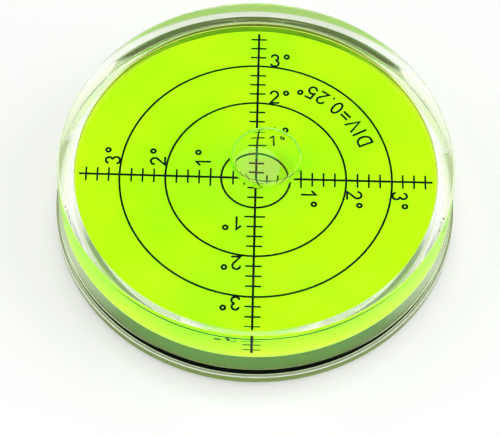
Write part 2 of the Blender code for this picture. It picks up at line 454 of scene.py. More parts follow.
@dataclass(frozen=True)
class EdgeLitFinish:
    """Opaque finish of a disc, with a glow of painted light and shade that changes from its middle
    to its edge.

    Attributes:
        name: Material name.
        colour: Its colour.
        reach: Radius up to which the stops are spread.
        stops: Light that it gives off at front and back, as (share of the reach, colour) pairs.
        heading: How much the stops count, as (share of the way from front to back, amount) pairs.
        sides: Light that it gives off where they don't count.
        roughness: Its roughness.
        sheen: Share of the usual surface reflection.
    """

    name: str
    colour: Colour
    reach: float
    stops: Stops
    heading: Amounts
    sides: Colour
    roughness: float = 0.6
    sheen: float = 0.02

    def build(self) -> bpy.types.Material:
        """Make the material.

        Returns:
            The glowing material.
        """
        material, tree = new_material(self.name)
        shader = tree.nodes["Principled BSDF"]
        shader.inputs["Base Color"].default_value = (*self.colour, 1.0)
        shader.inputs["Roughness"].default_value = self.roughness
        shader.inputs["Specular IOR Level"].default_value = self.sheen
        # Painted light and shade: the emission copies the bright and dark bands seen on the dial's
        # back.
        mix = add_mix(tree, add_heading(tree, self.heading), self.sides)
        glow = add_stops(tree, add_distance(tree, 0.0, self.reach), self.stops)
        tree.links.new(glow, mix.inputs["B"])
        tree.links.new(mix.outputs["Result"], shader.inputs["Emission Color"])
        shader.inputs["Emission Strength"].default_value = 1.0
        return material


@dataclass(frozen=True)
class PaintedGlowFinish:
    """Pale opaque finish with a glow of painted light that changes with the height.

    Attributes:
        name: Material name.
        colour: Its colour.
        low: Height of the first stop.
        high: Height of the last stop.
        stops: Light that it gives off, as (share of the way up, colour) pairs.
        roughness: Its roughness.
    """

    name: str
    colour: Colour
    low: float
    high: float
    stops: Stops
    roughness: float = 0.5

    def build(self) -> bpy.types.Material:
        """Make the material.

        Returns:
            The glue's material.
        """
        material, tree = new_material(self.name)
        shader = tree.nodes["Principled BSDF"]
        shader.inputs["Base Color"].default_value = (*self.colour, 1.0)
        shader.inputs["Roughness"].default_value = self.roughness
        glow = add_stops(tree, add_height(tree, self.low, self.high), self.stops)
        tree.links.new(glow, shader.inputs["Emission Color"])
        shader.inputs["Emission Strength"].default_value = 1.0
        return material


@dataclass(frozen=True)
class LevelFinishes:
    """Finish of every piece.

    Attributes:
        outside: Acrylic against air.
        wet: Acrylic against the liquid.
        bonded: Acrylic against acrylic in the joint, with a tint that paints dim green light.
        edge: The flange's outer side, with an olive tint that is painted shade.
        ledge: The flange's top outside the skirt, with a dark tint that is painted shade.
        under: The underside, with a green tint that is painted green light on the floor beneath.
        groove: The flange's top under the mouth of the groove, with a mint tint that paints the
            light seen there.
        corner: The flange's top further in, with a dark tint that is painted shade at the front.
        liquid: Dyed body of the liquid.
        bubble: The liquid against the bubble's air.
        dial: The fluorescent dial, with a painted glow and painted paler light in the middle.
        ink_and_shade: The print, and the black sheet at the front of the groove that paints shade
            there.
        stopper: The stopper, tinted olive as painted shade.
        backing: The dial's back, with painted light and shade.
        rear_band_paint: The green sheet at the back of the groove, whose colour is painted light.
        thread: The olive thread in the groove, which paints a line of shade.
        painted_glow: The strips in the joint, whose glow is painted light on the left and right
            rims.
    """

    outside: ClearFinish = ClearFinish("clear_acrylic", Optics.acrylic)
    wet: ClearFinish = ClearFinish("acrylic_in_liquid", Optics.acrylic / Optics.liquid)
    # Painted dim green light: the tint stands in for the dial's light seen through the joint.
    bonded: ClearFinish = ClearFinish("bonded_joint", 1.0, tint=(0.8, 0.85, 0.7), haze=0.0)
    # Painted shade: the olive tint darkens what is seen through the flange's side.
    edge: ClearFinish = ClearFinish("flange_edge", Optics.acrylic, tint=(0.88, 0.9, 0.72))
    # Painted shade: the dark tint darkens what is seen through the ledge.
    ledge: ClearFinish = ClearFinish("flange_ledge", Optics.acrylic, tint=(0.14, 0.17, 0.08))
    # Painted light: the green tint stands in for the dial's green light on the floor under the
    # base.
    under: ClearFinish = ClearFinish("flange_underside", Optics.acrylic, tint=(0.5, 0.95, 0.15))
    # Painted highlight: the mint tint colours the light seen under the mouth of the groove.
    groove: ClearFinish = ClearFinish("flange_groove", Optics.acrylic, tint=(0.75, 1.0, 0.5))
    # Painted shade, at the front only.
    corner: ClearFinish = ClearFinish("flange_corner", Optics.acrylic, tint=(0.1, 0.22, 0.04),
                                      heading=((0.3, 1.0), (0.4, 0.0)))
    liquid: ClearFinish = ClearFinish("green_liquid", 1.0, haze=0.0, dye=(0.915, 1.0, 0.0),
                                      dye_density=840.0)
    bubble: ClearFinish = ClearFinish("bubble_skin", Optics.liquid)
    # Painted glow standing in for fluorescence, and more blue in the middle as painted light under
    # the bubble.
    dial: DialFinish = DialFinish("fluorescent_green", (0.31, 0.5, 0.45), (0.37, 0.54, 0.48),
                                  (0.42, 0.76, 0.3), (0.56, 0.78, 0.3), blue=0.12,
                                  start=6.0 * MM, end=10.0 * MM)
    # The same ink also paints the shade of the black sheet at the front of the groove.
    ink_and_shade: DyedFinish = DyedFinish("black_ink", (0.001, 0.004, 0.003), (0.002, 0.007, 0.004),
                                 roughness=0.5, sheen=0.02)
    # The olive colour is painted shade, matching the dark band seen through the base at the back.
    stopper: DyedFinish = DyedFinish("stopper_plastic", (0.66, 0.7, 0.48), (0.72, 0.75, 0.54),
                                     roughness=0.4)
    # Its glow paints the light and shade seen on the dial's back through the base.
    backing: EdgeLitFinish = EdgeLitFinish(
        "dial_back", (0.1, 0.14, 0.07), reach=27.0 * MM,
        stops=((0.345, (0.14, 0.165, 0.08)), (0.38, (0.6, 0.66, 0.46)),
               (0.46, (0.6, 0.66, 0.46)), (0.53, (0.13, 0.31, 0.06)),
               (0.65, (0.12, 0.31, 0.06)), (0.7, (0.15, 0.18, 0.07)),
               (0.8, (0.2, 0.27, 0.07)), (0.97, (0.2, 0.27, 0.07)),
               (0.985, (0.45, 0.95, 0.05))),
        heading=((0.2, 1.0), (0.45, 0.0), (0.91, 0.0), (0.965, 1.0)),
        sides=(0.85, 0.92, 0.76))
    # The green of the sheet at the back of the groove is painted light.
    rear_band_paint: DyedFinish = DyedFinish("rear_band_green", (0.42, 0.8, 0.08), (0.48, 0.86, 0.1),
                                     roughness=0.5)
    # The olive thread paints a thin line of shade.
    thread: DyedFinish = DyedFinish("olive_shade", (0.1, 0.13, 0.05), (0.14, 0.17, 0.07),
                                    roughness=0.5)
    # The glow of the strips in the joint is painted light on the left and right rims.
    painted_glow: PaintedGlowFinish = PaintedGlowFinish(
        "painted_rim_glow", (0.3, 0.33, 0.25), low=1.7 * MM, high=3.7 * MM,
        stops=((0.1, (0.95, 0.95, 0.9)), (0.5, (0.7, 0.76, 0.62)),
               (0.62, (0.42, 0.5, 0.28)), (0.8, (0.36, 0.43, 0.25)),
               (1.0, (0.55, 0.62, 0.45))))

    def faces(self) -> list[ClearFinish]:
        """Finishes of the clear faces.

        Returns:
            The finishes in the order of Surface.
        """
        return [self.outside, self.wet, self.bonded, self.edge, self.ledge, self.under,
                self.groove, self.corner]


class Surface(Enum):
    """What meets at a clear face, in the order of the material slots.

    The first three are air, the liquid and a bonded piece, and the cap has these alone.  The
    others are faces of the base that meet air and carry tints that paint light and shade: the
    flange's outer side and its top outside the skirt get painted shade, the underside painted
    green light, the flange's top under the mouth of the groove a painted mint highlight, and the
    top further in painted shade at the front.
    """

    OUTSIDE = 0
    WET = 1
    BONDED = 2
    EDGE = 3
    LEDGE = 4
    UNDER = 5
    GROOVE = 6
    CORNER = 7


@dataclass(frozen=True)
class Span:
    """One stretch of a turned outline.

    Attributes:
        points: (radius, height) of each point.
        normals: Outward direction at each point.
        surface: What meets at its faces.
    """

    points: FloatArray
    normals: FloatArray
    surface: Surface


def straight(start: tuple[float, float], end: tuple[float, float], surface: Surface,
             steps: int = 1) -> Span:
    """Straight stretch: the points are start plus a share of the way to end.

    Args:
        start: First (radius, height).
        end: Last (radius, height).
        surface: What meets at its faces.
        steps: How many pieces it is cut into.

    Returns:
        The stretch, whose normal is its direction turned a quarter to the left.
    """
    share = np.linspace(0.0, 1.0, steps + 1)[:, None]
    first, last = np.array(start), np.array(end)
    way = (last - first) / np.linalg.norm(last - first)
    normal = np.array([-way[1], way[0]])
    return Span(first + share * (last - first), np.tile(normal, (steps + 1, 1)), surface)


def arc(centre: tuple[float, float], radius: float, start: float, end: float,
        surface: Surface, steps: int) -> Span:
    """Round stretch: the points are centre plus radius times (cos, sin) of the angle.

    Args:
        centre: (radius, height) of the arc's centre.
        radius: Radius of the arc.
        start: First angle in radians, from the outward direction.
        end: Last angle. Past the first it bends inward, and the normals face the centre.
        surface: What meets at its faces.
        steps: How many pieces it is cut into.

    Returns:
        The stretch.
    """
    angle = np.linspace(start, end, steps + 1)
    spoke = np.stack([np.cos(angle), np.sin(angle)], axis=1)
    side = -1.0 if end > start else 1.0
    return Span(np.array(centre) + radius * spoke, side * spoke, surface)


def turn(name: str, spans: list[Span], segments: int,
         centre: tuple[float, float] = (0.0, 0.0)) -> bpy.types.Object:
    """Turn an outline about an upright axis into a closed mesh.

    Point i of the outline at angle t lies at centre plus (radius cos t, radius sin t, height),
    and its normal is (normal cos t, normal sin t, rise).  A point on the axis is one vertex,
    and the faces there have three corners.

    Args:
        name: Object name.
        spans: Stretches in order, each starting where the last one ended.
        segments: Faces round the axis.
        centre: (x, y) of the axis.

    Returns:
        The turned object, with exact normals and one material index for each surface.
    """
    points = np.concatenate([spans[0].points[:1]] + [span.points[1:] for span in spans])
    closed = bool(np.allclose(points[0], points[-1], atol=TOUCHING)) and points[0, 0] > ON_AXIS
    if closed:
        points = points[:-1]
    first_normals = np.concatenate([span.normals[:-1] for span in spans])
    last_normals = np.concatenate([span.normals[1:] for span in spans])
    kinds = np.concatenate([np.full(len(span.points) - 1, span.surface.value) for span in spans])

    angle = np.arange(segments) * (math.tau / segments)
    on_axis = points[:, 0] < ON_AXIS
    counts = np.where(on_axis, 1, segments)
    starts = np.concatenate([[0], np.cumsum(counts)[:-1]])
    step = np.where(on_axis, 0, 1)
    wheel = np.stack([np.cos(angle), np.sin(angle)], axis=1)
    rings = []
    for (radius, height), pole in zip(points, on_axis):
        spokes = np.zeros((1, 2)) if pole else wheel * radius
        rings.append(np.column_stack([spokes + np.array(centre), np.full(len(spokes), height)]))
    vertices = np.concatenate(rings)

    here = np.arange(segments)
    there = (here + 1) % segments
    corners, sizes, normals, slots = [], [], [], []
    for row in range(len(first_normals)):
        low, high = row, (row + 1) % len(points)
        tilt_low, tilt_high = first_normals[row], last_normals[row]
        columns = [(starts[low] + step[low] * here, here, tilt_low),
                   (starts[high] + step[high] * here, here, tilt_high),
                   (starts[high] + step[high] * there, there, tilt_high),
                   (starts[low] + step[low] * there, there, tilt_low)]
        if on_axis[low]:
            columns = columns[:3]
        elif on_axis[high]:
            columns = [columns[0], columns[1], columns[3]]
        corners.append(np.stack([index for index, _, _ in columns], axis=1).ravel())
        ways = [np.column_stack([wheel[spoke] * tilt[0], np.full(segments, tilt[1])])
                for _, spoke, tilt in columns]
        normals.append(np.stack(ways, axis=1).reshape(-1, 3))
        sizes.append(np.full(segments, len(columns)))
        slots.append(np.full(segments, kinds[row]))
    return mesh_object(name, vertices, np.concatenate(corners), np.concatenate(sizes),
                       np.concatenate(slots), np.concatenate(normals))


def flat_ring(name: str, inner: float, outer: float, low: float, high: float,
              segments: int) -> bpy.types.Object:
    """Turn a flat ring, or a disc when the inner radius is nought.

    Args:
        name: Object name.
        inner: Inner radius.
        outer: Outer radius.
        low: Height of its lower face.
        high: Height of its upper face.
        segments: Faces round the axis.

    Returns:
        The closed ring.
    """
    spans = [
        straight((inner, high), (outer, high), Surface.OUTSIDE, SHORT),
        straight((outer, high), (outer, low), Surface.OUTSIDE),
        straight((outer, low), (inner, low), Surface.OUTSIDE, SHORT),
    ]
    if inner > 0.0:
        spans.append(straight((inner, low), (inner, high), Surface.OUTSIDE))
    return turn(name, spans, segments)


def bar(name: str, rails: list[FloatArray]) -> bpy.types.Object:
    """Closed bar between rails, with a flat cap at each end.

    Face i between two rails joins their points i and i + 1.

    Args:
        name: Object name.
        rails: Points of its four long edges, anticlockwise as seen from behind the start.

    Returns:
        The bar.
    """
    count, sides = len(rails[0]), len(rails)
    here = np.arange(count - 1)
    faces = []
    for side in range(sides):
        first, second = side * count + here, (side + 1) % sides * count + here
        faces.append(np.stack([first, first + 1, second + 1, second], axis=1))
    ends = np.arange(sides) * count
    faces.append(np.array([ends, ends[::-1] + count - 1]))
    corners = np.concatenate(faces)
    piece = mesh_object(name, np.concatenate(rails), corners.ravel(),
                        np.full(len(corners), sides), np.zeros(len(corners), dtype=np.int64))
    piece.data.shade_flat()
    return piece


def mesh_object(name: str, vertices: FloatArray, corners: NDArray[np.int64],
                sizes: NDArray[np.int64], slots: NDArray[np.int64],
                normals: FloatArray | None = None) -> bpy.types.Object:
    """Put whole arrays into a new mesh object.

    Args:
        name: Object name.
        vertices: Vertex positions.
        corners: Vertex index of every face corner, face after face.
        sizes: Corner count of every face.
        slots: Material index of every face.
        normals: Normal of every face corner, or None for the mesh's own.

    Returns:
        The object, linked to the scene.
    """
    mesh = bpy.data.meshes.new(name)
    mesh.vertices.add(len(vertices))
    mesh.vertices.foreach_set("co", vertices.astype(np.float32).ravel())
    mesh.loops.add(len(corners))
    mesh.loops.foreach_set("vertex_index", corners.astype(np.int32))
    mesh.polygons.add(len(sizes))
    starts = np.concatenate([[0], np.cumsum(sizes)[:-1]])
    mesh.polygons.foreach_set("loop_start", starts.astype(np.int32))
    mesh.polygons.foreach_set("material_index", slots.astype(np.int32))
    mesh.update(calc_edges=True)
    mesh.shade_smooth()
    if normals is not None:
        mesh.normals_split_custom_set(normals.astype(np.float32).tolist())
    piece = bpy.data.objects.new(name, mesh)
    bpy.context.scene.collection.objects.link(piece)
    return piece


def dress(piece: bpy.types.Object, materials: list[bpy.types.Material], slot: str,
          *nodes: str) -> None:
    """Give a piece its finishes and fix it to the frame.

    Args:
        piece: The object.
        materials: Its materials in slot order.
        slot: The record's material slot; not used.
        nodes: Names of the frame's nodes that it stands for.
    """
    for material in materials:
        piece.data.materials.append(material)
    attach(piece, BODY)
    if nodes:
        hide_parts(*nodes)


def refinish(node: str, material: bpy.types.Material) -> bpy.types.Object:
    """Give a better material to a solid that stays the frame's own.

    Args:
        node: Its name in the frame.
        material: The material.

    Returns:
        The solid.
    """
    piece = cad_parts[node]
    piece.data.materials.clear()
    piece.data.materials.append(material)
    return piece


@dataclass(frozen=True)
class Envelope:
    """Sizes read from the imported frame, which every class below works from.

    Attributes:
        flange_radius: Radius of the base's flange.
        flange_top: Height of the flange's upper face.
        skirt_radius: Outer radius of the cap where it meets the flange.
        cap_top: Height of the cap's roof.
        dial_seat: Height of the dial's underside.
        dial_face: Height of the dial's upper face.
        bubble_radius: Widest radius of the bubble.
        bubble_x: Bubble's place across.
        bubble_y: Bubble's place along.
    """

    flange_radius: float
    flange_top: float
    skirt_radius: float
    cap_top: float
    dial_seat: float
    dial_face: float
    bubble_radius: float
    bubble_x: float
    bubble_y: float

    @classmethod
    def from_frame(cls) -> "Envelope":
        """Read the sizes from the frame's boxes.

        Returns:
            The sizes in metres.
        """
        base_low, base_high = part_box("clear_base")
        cap_low, cap_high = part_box("clear_cap")
        dial_low, dial_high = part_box("green_dial")
        bubble_low, bubble_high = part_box("air_bubble")
        return cls(
            flange_radius=(base_high[0] - base_low[0]) / 2,
            flange_top=cap_low[2],
            skirt_radius=(cap_high[0] - cap_low[0]) / 2,
            cap_top=cap_high[2],
            dial_seat=dial_low[2],
            dial_face=dial_high[2],
            bubble_radius=(bubble_high[0] - bubble_low[0]) / 2,
            bubble_x=(bubble_high[0] + bubble_low[0]) / 2,
            bubble_y=(bubble_high[1] + bubble_low[1]) / 2,
        )


@dataclass(frozen=True)
class Chamber:
    """The liquid room under the cap's roof.

    Attributes:
        envelope: Sizes from the frame.
        draft: Lean of the cap's walls.
        wall: Thickness of the cap's wall.
        depth: Height from the dial's face to the ceiling's edge.
        ceiling: Radius of the spherical ceiling.
        fillet: Radius between the wall and the ceiling.
        wall_steps: Pieces that the wall is cut into.
        fillet_steps: Pieces of the fillet.
        ceiling_steps: Pieces of the ceiling.
        rounds: Rounds in which the fillet's place is worked out.
    """

    envelope: Envelope
    draft: float = math.radians(2.0)
    wall: float = 2.4 * MM
    depth: float = 3.9 * MM
    ceiling: float = 385.0 * MM
    fillet: float = 0.6 * MM
    wall_steps: int = 8
    fillet_steps: int = 20
    ceiling_steps: int = 40
    rounds: int = 8

    def outer_radius(self, height: Length) -> Length:
        """Outer radius of the cap's wall at a height."""
        rise = height - self.envelope.flange_top
        return self.envelope.skirt_radius - rise * math.tan(self.draft)

    def bore_radius(self, height: Length) -> Length:
        """Inner radius of the cap's wall at a height."""
        return self.outer_radius(height) - self.wall

    @property
    def ceiling_edge(self) -> float:
        """Height of the ceiling where it would meet the wall."""
        return self.envelope.dial_face + self.depth

    @property
    def ceiling_centre(self) -> float:
        """Height of the middle of the ceiling's sphere."""
        reach = self.bore_radius(self.ceiling_edge)
        return self.ceiling_edge - math.sqrt(self.ceiling ** 2 - reach ** 2)

    def ceiling_height(self, radius: float) -> float:
        """Height of the ceiling at a distance from the axis."""
        return self.ceiling_centre + math.sqrt(self.ceiling ** 2 - radius ** 2)

    def spans(self, floor: float, inset: float, surface: Surface) -> list[Span]:
        """Wall, fillet and ceiling from a floor up to the axis.

        The fillet's centre lies its radius inside the wall and inside the ceiling's sphere.

        Args:
            floor: Height where the wall starts.
            inset: Distance inside the cap's own surface.
            surface: What meets there.

        Returns:
            The stretches in order.
        """
        sphere = self.ceiling - inset
        fillet = self.fillet - inset
        height = self.ceiling_edge - fillet
        for _ in range(self.rounds):
            middle = self.bore_radius(height) - inset - fillet
            height = self.ceiling_centre + math.sqrt((sphere - fillet) ** 2 - middle ** 2)
        steep = math.atan2(height - self.ceiling_centre, middle)
        start = (self.bore_radius(height) - inset, height)
        return [
            straight((self.bore_radius(floor) - inset, floor), start, surface, self.wall_steps),
            arc((middle, height), fillet, 0.0, steep, surface, self.fillet_steps),
            arc((0.0, self.ceiling_centre), sphere, steep, math.pi / 2, surface,
                self.ceiling_steps),
        ]


@dataclass(frozen=True)
class ClearCap:
    """The moulded clear cap.

    Attributes:
        chamber: The liquid room under its roof.
        edge: Radius of the rim round the roof.
        skirt_bevel: Bevel at the skirt's lower outer corner.
        seam: Thickness of the air film between the skirt and the flange.
        segments: Faces round the axis.
    """

    chamber: Chamber
    edge: float = 0.3 * MM
    skirt_bevel: float = 1.5 * MM
    seam: float = 0.02 * MM
    segments: int = 384

    def build(self, finishes: list[bpy.types.Material]) -> bpy.types.Object:
        """Make the cap from its roof round to the ceiling's middle.

        Args:
            finishes: Materials in the order of Surface.

        Returns:
            The cap.
        """
        room = self.chamber
        top = room.envelope.cap_top
        foot = room.envelope.flange_top + self.seam
        lean = math.pi / 2 - room.draft
        corner = room.outer_radius(top - self.edge) - self.edge
        side_start = (corner + self.edge * math.cos(room.draft),
                      top - self.edge + self.edge * math.sin(room.draft))
        bevel = self.skirt_bevel
        side_end = (room.outer_radius(foot + bevel), foot + bevel)
        seat = (room.outer_radius(foot) - bevel, foot)
        spans = [
            straight((0.0, top), (corner, top), Surface.OUTSIDE, LONG),
            arc((corner, top - self.edge), self.edge, math.pi / 2, math.pi / 2 - lean,
                Surface.OUTSIDE, LONG),
            straight(side_start, side_end, Surface.OUTSIDE, LONG),
            straight(side_end, seat, Surface.OUTSIDE),
            straight(seat, (room.bore_radius(foot), foot), Surface.OUTSIDE, SHORT),
            straight((room.bore_radius(foot), foot),
                     (room.bore_radius(room.envelope.dial_seat), room.envelope.dial_seat),
                     Surface.BONDED, SHORT),
        ]
        spans += room.spans(room.envelope.dial_seat, 0.0, Surface.WET)
        cap = turn("clear_cap_shell", spans, self.segments)
        dress(cap, finishes, "clear_cap", "clear_cap")
        return cap


@dataclass(frozen=True)
class ClearBase:
    """The clear base: flange, and spigot under the dial.

    Attributes:
        chamber: The liquid room, whose bore the spigot fits.
        foot: Radius of the flange's lower edge.
        bevel: Bevel of the flange's upper edge.
        field: Radius of the underside's field, whose tint is painted green light.
        groove: Breadth of the flange's strip under the mouth of the groove, whose tint is a
            painted mint highlight.
        corner: Breadth of the strip further in, whose tint is painted shade at the front.
        fit: Gap between the spigot and the bore.
        segments: Faces round the axis.
    """

    chamber: Chamber
    foot: float = 0.4 * MM
    bevel: float = 0.12 * MM
    field: float = 26.45 * MM
    groove: float = 1.1 * MM
    corner: float = 0.95 * MM
    fit: float = 0.02 * MM
    segments: int = 384

    def build(self, finishes: list[bpy.types.Material]) -> bpy.types.Object:
        """Make the base from the spigot's middle round to the underside's middle.

        Args:
            finishes: Materials in the order of Surface.

        Returns:
            The base.
        """
        room = self.chamber
        flange = room.envelope.flange_radius
        shelf = room.envelope.flange_top
        seat = room.envelope.dial_seat - self.fit
        head = room.bore_radius(seat) - self.fit
        root = room.bore_radius(shelf) - self.fit
        ledge = room.envelope.skirt_radius
        corner = ledge - self.groove - self.corner
        spans = [
            straight((0.0, seat), (head, seat), Surface.BONDED, MIDDLING),
            straight((head, seat), (root, shelf), Surface.BONDED, SHORT),
            straight((root, shelf), (corner, shelf), Surface.OUTSIDE, SHORT),
            straight((corner, shelf), (ledge - self.groove, shelf), Surface.CORNER, STUB),
            straight((ledge - self.groove, shelf), (ledge, shelf), Surface.GROOVE, STUB),
            straight((ledge, shelf), (flange - self.bevel, shelf), Surface.LEDGE, SHORT),
            straight((flange - self.bevel, shelf), (flange, shelf - self.bevel), Surface.OUTSIDE),
            straight((flange, shelf - self.bevel), (flange, self.foot), Surface.EDGE, SHORT),
            arc((flange - self.foot, self.foot), self.foot, 0.0, -math.pi / 2, Surface.EDGE,
                LONG),
            straight((flange - self.foot, 0.0), (self.field, 0.0), Surface.OUTSIDE, STUB),
            straight((self.field, 0.0), (0.0, 0.0), Surface.UNDER, LONG),
        ]
        base = turn("clear_base_block", spans, self.segments)
        dress(base, finishes, "clear_base", "clear_base")
        return base


@dataclass(frozen=True)
class DialBacking:
    """Back of the dial, which the clear base shows from below, with painted light and shade.

    Attributes:
        chamber: The liquid room, whose envelope gives the dial.
        edge: Distance between the film's edge and the bore.
        drop: Distance between the dial and the film.
        thickness: Thickness of the film.
        segments: Faces round the axis.
    """

    chamber: Chamber
    edge: float = 0.03 * MM
    drop: float = 0.003 * MM
    thickness: float = 0.01 * MM
    segments: int = 192

    def build(self, material: bpy.types.Material) -> bpy.types.Object:
        """Make the film.

        Args:
            material: Its material.

        Returns:
            The film.
        """
        high = self.chamber.envelope.dial_seat - self.drop
        outer = self.chamber.bore_radius(high) - self.edge
        film = flat_ring("dial_back", 0.0, outer, high - self.thickness, high, self.segments)
        dress(film, [material], "green_dial")
        return film


@dataclass(frozen=True)
class Bead:
    """Bead that follows part of a circle and gets lower towards its ends as the cosine.

    Attributes:
        chamber: The liquid room, whose walls it follows.
        name: Object name.
        middle: Direction of its middle, in degrees from +X towards +Y.
        reach: Degrees from its middle to each end.
        segments: Faces along it.
        tip: Share of the greatest height that is left at its ends.
    """

    chamber: Chamber
    name: str
    middle: float
    reach: float
    segments: int = 240
    tip: float = 0.02

    @property
    def places(self) -> FloatArray:
        """Places along it, from -1 at its start to 1 at its end."""
        return np.linspace(-1.0, 1.0, self.segments + 1)

    @property
    def fade(self) -> FloatArray:
        """Share of the greatest height that it has at each place."""
        return np.clip(np.cos(self.places * math.pi / 2), self.tip, 1.0)

    def foot(self, lift: float) -> FloatArray:
        """Height of its lower side at each place, a lift over the flange."""
        return np.full(self.segments + 1, self.chamber.envelope.flange_top + lift)

    def rail(self, radius: Length, height: FloatArray) -> FloatArray:
        """Line along the bead: radius times (cos, sin) of each place's direction, and height.

        Args:
            radius: Distance from the axis, for all places or each.
            height: Height at each place.

        Returns:
            The points of the line.
        """
        angle = np.radians(self.middle + self.places * self.reach)
        return np.column_stack([radius * np.cos(angle), radius * np.sin(angle), height])


@dataclass(frozen=True)
class PaintedBand(Bead):
    """Sheet in the groove under the cap's bevelled foot, whose colour paints the shade and light
    there.

    Its top slopes as the bevel does, and it thins out towards its ends too.

    Attributes:
        height: Greatest height.
        thickness: Greatest thickness.
        edge: Distance inside the skirt's outer edge.
        lift: Gap under it.
    """

    height: float = 1.36 * MM
    thickness: float = 0.03 * MM
    edge: float = 0.08 * MM
    lift: float = 0.01 * MM

    def build(self, material: bpy.types.Material) -> bpy.types.Object:
        """Make the bead as an upright bar that follows the skirt.

        Args:
            material: Its material.

        Returns:
            The bead.
        """
        outer = self.chamber.envelope.skirt_radius - self.edge
        low = self.foot(self.lift)
        high = low + self.height * self.fade
        depth = self.thickness * self.fade
        band = bar(self.name, [self.rail(outer, low), self.rail(outer, high),
                               self.rail(outer - depth, high - depth),
                               self.rail(outer - depth, low)])
        dress(band, [material], "black_ink")
        return band


@dataclass(frozen=True)
class ShadeThread:
    """Thin olive thread that runs right round the groove, under the bevel's top, as painted shade.

    Attributes:
        chamber: The liquid room, whose envelope gives the flange and the skirt.
        edge: Distance inside the skirt's outer edge.
        thickness: Its thickness.
        rise: Distance between the flange and its lower side.
        height: Its height.
        segments: Faces round the axis.
    """

    chamber: Chamber
    edge: float = 0.12 * MM
    thickness: float = 0.04 * MM
    rise: float = 1.15 * MM
    height: float = 0.14 * MM
    segments: int = 384

    def build(self, material: bpy.types.Material) -> bpy.types.Object:
        """Make the thread as a flat ring.

        Args:
            material: Its material.

        Returns:
            The thread.
        """
        outer = self.chamber.envelope.skirt_radius - self.edge
        low = self.chamber.envelope.flange_top + self.rise
        thread = flat_ring("olive_shade_thread", outer - self.thickness, outer, low, low + self.height,
                           self.segments)
        dress(thread, [material], "black_ink")
        return thread


@dataclass(frozen=True)
class PaintedJointGlow(Bead):
    """Pale strip in part of the joint between the spigot and the bore, with a glow of painted
    light.

    Attributes:
        reach: Degrees from its middle to each end.
        segments: Faces along it.
        height: Greatest height.
        lift: Gap over the flange.
        inset: Gap to the bore.
        thickness: Its thickness.
    """

    reach: float = 28.0
    segments: int = 120
    height: float = 2.9 * MM
    lift: float = 0.02 * MM
    inset: float = 0.006 * MM
    thickness: float = 0.008 * MM

    def build(self, material: bpy.types.Material) -> bpy.types.Object:
        """Make the strip as a thin upright bar that follows the bore.

        Args:
            material: Its material.

        Returns:
            The strip.
        """
        low = self.foot(self.lift)
        high = low + self.height * self.fade
        near, far = self.inset, self.inset + self.thickness
        painted_glow = bar(self.name, [self.rail(self.chamber.bore_radius(rise) - depth, rise)
                               for depth, rise in ((near, low), (near, high), (far, high),
                                                   (far, low))])
        dress(painted_glow, [material], "fill_stopper")
        return painted_glow


@dataclass(frozen=True)
class BubbleForm:
    """Shape of a bubble pressed against a ceiling by a liquid.

    Attributes:
        radius: Widest radius.
        capillary: Capillary length of the liquid.
        step: Length of one step along the outline.
        most: Largest number of steps.
        flattest: Largest radius of curvature at the lowest point, in widest radii.
        halvings: How often the range of that radius of curvature is halved.
    """

    radius: float
    capillary: float = 1.6 * MM
    step: float = 0.008 * MM
    most: int = 12000
    flattest: float = 2000.0
    halvings: int = 50

    def curve(self, apex: float) -> FloatArray:
        """Young-Laplace outline from the lowest point up, as (radius, height, slope) rows.

        The slope grows along the outline by 2 / apex, plus height over the capillary length
        squared, less sin(slope) / radius.

        Args:
            apex: Radius of curvature at the lowest point.

        Returns:
            The rows up to a slope of 180 degrees.
        """
        radius, height, slope = 0.0, 0.0, 0.0
        rows = [(radius, height, slope)]
        while slope < math.pi and len(rows) < self.most:
            hoop = math.sin(slope) / radius if radius > 0 else 1 / apex
            bend = 2 / apex + height / self.capillary ** 2 - hoop
            middle = slope + bend * self.step / 2
            radius += math.cos(middle) * self.step
            height += math.sin(middle) * self.step
            slope += bend * self.step
            rows.append((radius, height, slope))
        return np.array(rows)

    def outline(self) -> FloatArray:
        """Find the outline whose widest radius is the stated one.

        Returns:
            The (radius, height, slope) rows.
        """
        low, high = self.radius, self.radius * self.flattest
        for _ in range(self.halvings):
            middle = math.sqrt(low * high)
            if self.curve(middle)[:, 0].max() < self.radius:
                low = middle
            else:
                high = middle
        return self.curve(math.sqrt(low * high))


